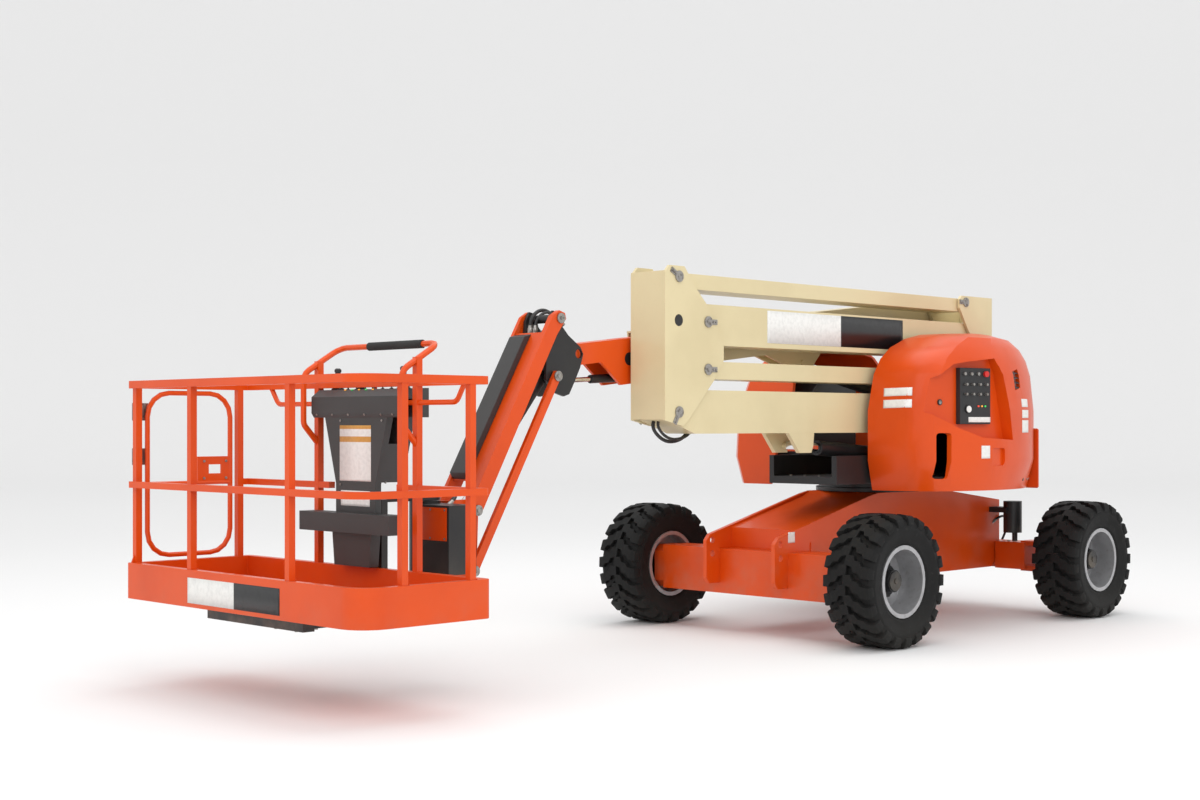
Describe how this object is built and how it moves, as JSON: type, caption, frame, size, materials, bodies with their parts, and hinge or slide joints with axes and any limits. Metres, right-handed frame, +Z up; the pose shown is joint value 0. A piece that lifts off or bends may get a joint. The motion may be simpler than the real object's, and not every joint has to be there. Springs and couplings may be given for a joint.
{
  "type": "articulating boom lift",
  "caption": "Four-wheeled articulating boom lift, stowed, with folding tower, telescopic boom, jib and rail-guarded work platform, in orange and cream.",
  "frame": {"origin": "on the ground, under the middle of the bounding box", "axes": "+X towards the platform end, +Y to the left of an operator facing the platform, +Z up"},
  "size_m": [6.995, 2.33, 2.343],
  "materials": {
    "orange_paint": "satin",
    "cast_weight": "painted, slightly rough",
    "cream_paint": "satin",
    "black_paint": "semi-matte",
    "ram_chrome": "polished",
    "tyre_rubber": "matte",
    "rim_silver": "satin",
    "grey_plastic": "matte"
  },
  "bodies": {
    "chassis": {"chassis_frame": "orange_paint", "drive_axle": "orange_paint", "steer_axle": "orange_paint", "lockout_cylinder_left": "black_paint", "lockout_cylinder_right": "black_paint", "swing_bearing": "black_paint", "steering_cylinder": "black_paint"},
    "wheel_front_left": {"tyre_front_left": "tyre_rubber", "rim_front_left": "rim_silver"},
    "wheel_front_right": {"tyre_front_right": "tyre_rubber", "rim_front_right": "rim_silver"},
    "wheel_rear_left": {"tyre_rear_left": "tyre_rubber", "rim_rear_left": "rim_silver"},
    "wheel_rear_right": {"tyre_rear_right": "tyre_rubber", "rim_rear_right": "rim_silver"},
    "knuckle_left": {"steer_knuckle_left": "orange_paint"},
    "knuckle_right": {"steer_knuckle_right": "orange_paint"},
    "steering_ram": {"steering_rod": "ram_chrome"},
    "turntable": {"turntable_frame": "black_paint", "counterweight": "cast_weight", "engine": "black_paint"},
    "hood_left": {"hood_left": "orange_paint", "control_panel": "grey_plastic"},
    "hood_right": {"hood_right": "orange_paint"},
    "lower_arm": {"lower_arm": "cream_paint"},
    "lower_link": {"lower_link": "cream_paint"},
    "mid_upright": {"mid_upright": "cream_paint"},
    "upper_arm": {"upper_arm": "cream_paint"},
    "upper_link": {"upper_link": "cream_paint"},
    "rear_upright": {"rear_upright": "cream_paint"},
    "tower_cylinder": {"tower_cylinder": "black_paint"},
    "tower_rod": {"tower_rod": "ram_chrome"},
    "boom_base": {"boom_base": "cream_paint"},
    "boom_fly": {"boom_fly": "orange_paint"},
    "boom_cylinder": {"boom_cylinder": "black_paint"},
    "boom_rod": {"boom_rod": "ram_chrome"},
    "jib_knuckle": {"jib_knuckle": "black_paint"},
    "level_cylinder": {"level_cylinder": "black_paint"},
    "level_rod": {"level_rod": "ram_chrome"},
    "jib_arm": {"jib_arm": "orange_paint", "hose_cover": "grey_plastic"},
    "jib_link": {"jib_link": "orange_paint"},
    "jib_cylinder": {"jib_cylinder": "black_paint"},
    "jib_rod": {"jib_rod": "ram_chrome"},
    "platform_support": {"platform_support": "orange_paint", "rotator": "black_paint"},
    "platform": {"platform_floor": "orange_paint", "platform_rails": "orange_paint", "control_console": "grey_plastic", "platform_mount": "black_paint"},
    "gate": {"gate": "orange_paint"}
  },
  "joints": [
    {"name": "wheel_front_left_spin", "type": "hinge", "parent": "chassis", "child": "wheel_front_left", "pos_m": [-0.6475, 0.985, 0.42], "axis": [0, 1, 0], "continuous": true},
    {"name": "wheel_rear_left_spin", "type": "hinge", "parent": "knuckle_left", "child": "wheel_rear_left", "pos_m": [-3.0775, 0.985, 0.42], "axis": [0, 1, 0], "continuous": true},
    {"name": "wheel_front_right_spin", "type": "hinge", "parent": "chassis", "child": "wheel_front_right", "pos_m": [-0.6475, -0.985, 0.42], "axis": [0, 1, 0], "continuous": true},
    {"name": "wheel_rear_right_spin", "type": "hinge", "parent": "knuckle_right", "child": "wheel_rear_right", "pos_m": [-3.0775, -0.985, 0.42], "axis": [0, 1, 0], "continuous": true},
    {"name": "steer_left", "type": "hinge", "parent": "chassis", "child": "knuckle_left", "pos_m": [-3.0775, 0.7, 0.42], "axis": [0, 0, 1], "range_deg": [-35, 35]},
    {"name": "steer_right", "type": "hinge", "parent": "chassis", "child": "knuckle_right", "pos_m": [-3.0775, -0.7, 0.42], "axis": [0, 0, 1], "range_deg": [-35, 35]},
    {"name": "steering_ram_slide", "type": "slide", "parent": "chassis", "child": "steering_ram", "axis": [0, 1, 0], "range_m": [-0.098, 0.098]},
    {"name": "swing", "type": "hinge", "parent": "chassis", "child": "turntable", "pos_m": [-1.8625, 0, 0.965], "axis": [0, 0, 1], "range_deg": [-177.5, 177.5]},
    {"name": "hood_left_hinge", "type": "hinge", "parent": "turntable", "child": "hood_left", "pos_m": [-1.8625, 0.495, 1.99], "axis": [1, 0, 0], "range_deg": [0, 60]},
    {"name": "hood_right_hinge", "type": "hinge", "parent": "turntable", "child": "hood_right", "pos_m": [-1.8625, -0.495, 1.93], "axis": [-1, 0, 0], "range_deg": [0, 60]},
    {"name": "tower_lift", "type": "hinge", "parent": "turntable", "child": "lower_arm", "pos_m": [-2.3675, 0.3185, 1.473], "axis": [0, -1, 0], "range_deg": [0, 65]},
    {"name": "lower_link_turn", "type": "hinge", "parent": "turntable", "child": "lower_link", "pos_m": [-2.6275, 0.3185, 1.732], "axis": [0, -1, 0], "range_deg": [0, 65]},
    {"name": "mid_upright_turn", "type": "hinge", "parent": "lower_arm", "child": "mid_upright", "pos_m": [0.6825, 0.3185, 1.473], "axis": [0, 1, 0], "range_deg": [0, 65]},
    {"name": "upper_arm_turn", "type": "hinge", "parent": "mid_upright", "child": "upper_arm", "pos_m": [0.4225, 0.3185, 2.02], "axis": [0, 1, 0], "range_deg": [0, 65]},
    {"name": "upper_link_turn", "type": "hinge", "parent": "mid_upright", "child": "upper_link", "pos_m": [0.6825, 0.3185, 2.28], "axis": [0, 1, 0], "range_deg": [0, 65]},
    {"name": "rear_upright_turn", "type": "hinge", "parent": "upper_arm", "child": "rear_upright", "pos_m": [-2.6275, 0.3185, 2.02], "axis": [0, -1, 0], "range_deg": [0, 65]},
    {"name": "tower_cylinder_turn", "type": "hinge", "parent": "turntable", "child": "tower_cylinder", "pos_m": [-1.9625, 0.3185, 1.16], "axis": [0, -1, 0], "range_deg": [0, 69.5]},
    {"name": "tower_rod_slide", "type": "slide", "parent": "tower_cylinder", "child": "tower_rod", "axis": [0.9974, 0, 0.0717], "range_m": [0, 0.5358]},
    {"name": "boom_lift", "type": "hinge", "parent": "rear_upright", "child": "boom_base", "pos_m": [-2.4825, 0.06, 2.205], "axis": [0, -1, 0], "range_deg": [0, 80]},
    {"name": "boom_cylinder_turn", "type": "hinge", "parent": "rear_upright", "child": "boom_cylinder", "pos_m": [-2.3125, 0.06, 1.55], "axis": [0, -1, 0], "range_deg": [0, 66.44]},
    {"name": "boom_rod_slide", "type": "slide", "parent": "boom_cylinder", "child": "boom_rod", "axis": [0.9826, 0, 0.1855], "range_m": [0, 0.7643]},
    {"name": "telescope", "type": "slide", "parent": "boom_base", "child": "boom_fly", "axis": [0.9936, 0, -0.1132], "range_m": [0, 2.2]},
    {"name": "jib_knuckle_turn", "type": "hinge", "parent": "boom_fly", "child": "jib_knuckle", "pos_m": [1.22681, 0.06, 1.81157], "axis": [0, 1, 0], "range_deg": [0, 80]},
    {"name": "level_cylinder_turn", "type": "hinge", "parent": "boom_fly", "child": "level_cylinder", "pos_m": [0.74751, 0.06, 1.68602], "axis": [0, -1, 0], "range_deg": [0, 11.83]},
    {"name": "level_rod_slide", "type": "slide", "parent": "level_cylinder", "child": "level_rod", "axis": [-0.9983, 0, 0.0585], "range_m": [0, 0.193]},
    {"name": "jib_lift", "type": "hinge", "parent": "jib_knuckle", "child": "jib_arm", "pos_m": [1.4145, 0.06, 2.01], "axis": [0, -1, 0], "range_deg": [0, 135]},
    {"name": "jib_link_turn", "type": "hinge", "parent": "jib_knuckle", "child": "jib_link", "pos_m": [1.4255, 0.06, 1.677], "axis": [0, -1, 0], "range_deg": [0, 135]},
    {"name": "platform_support_turn", "type": "hinge", "parent": "jib_arm", "child": "platform_support", "pos_m": [2.0395, 0.06, 0.92747], "axis": [0, 1, 0], "range_deg": [0, 135]},
    {"name": "jib_cylinder_turn", "type": "hinge", "parent": "jib_knuckle", "child": "jib_cylinder", "pos_m": [1.4255, 0.06, 1.677], "axis": [0, -1, 0], "range_deg": [0, 129.26]},
    {"name": "jib_rod_slide", "type": "slide", "parent": "jib_cylinder", "child": "jib_rod", "axis": [0.6337, 0, -0.7736], "range_m": [0, 0.6034]},
    {"name": "platform_rotate", "type": "hinge", "parent": "platform_support", "child": "platform", "pos_m": [2.2875, 0.06, 0.78], "axis": [0, 0, 1], "range_deg": [-90, 90]},
    {"name": "gate_hinge", "type": "hinge", "parent": "platform", "child": "gate", "pos_m": [3.3955, -0.964, 1.1], "axis": [0, 0, -1], "range_deg": [0, 90]}
  ],
  "couplings": [
    {"joint": "steer_right", "follows": "steer_left", "ratio": 1},
    {"joint": "steering_ram_slide", "follows": "steer_left", "m_per_rad": -0.15962},
    {"joint": "lower_link_turn", "follows": "tower_lift", "ratio": 1},
    {"joint": "mid_upright_turn", "follows": "tower_lift", "ratio": 1},
    {"joint": "upper_arm_turn", "follows": "tower_lift", "ratio": 1},
    {"joint": "upper_link_turn", "follows": "tower_lift", "ratio": 1},
    {"joint": "rear_upright_turn", "follows": "tower_lift", "ratio": 1},
    {"joint": "tower_cylinder_turn", "follows": "tower_lift", "ratio": 1.0685},
    {"joint": "tower_rod_slide", "follows": "tower_lift", "m_per_rad": 0.47188},
    {"joint": "boom_cylinder_turn", "follows": "boom_lift", "ratio": 0.82985},
    {"joint": "boom_rod_slide", "follows": "boom_lift", "m_per_rad": 0.54702},
    {"joint": "jib_knuckle_turn", "follows": "boom_lift", "ratio": 1},
    {"joint": "level_cylinder_turn", "follows": "boom_lift", "ratio": 0.14724},
    {"joint": "level_rod_slide", "follows": "boom_lift", "m_per_rad": 0.13788},
    {"joint": "jib_link_turn", "follows": "jib_lift", "ratio": 1},
    {"joint": "platform_support_turn", "follows": "jib_lift", "ratio": 1},
    {"joint": "jib_cylinder_turn", "follows": "jib_lift", "ratio": 0.95709},
    {"joint": "jib_rod_slide", "follows": "jib_lift", "m_per_rad": 0.25587}
  ]
}
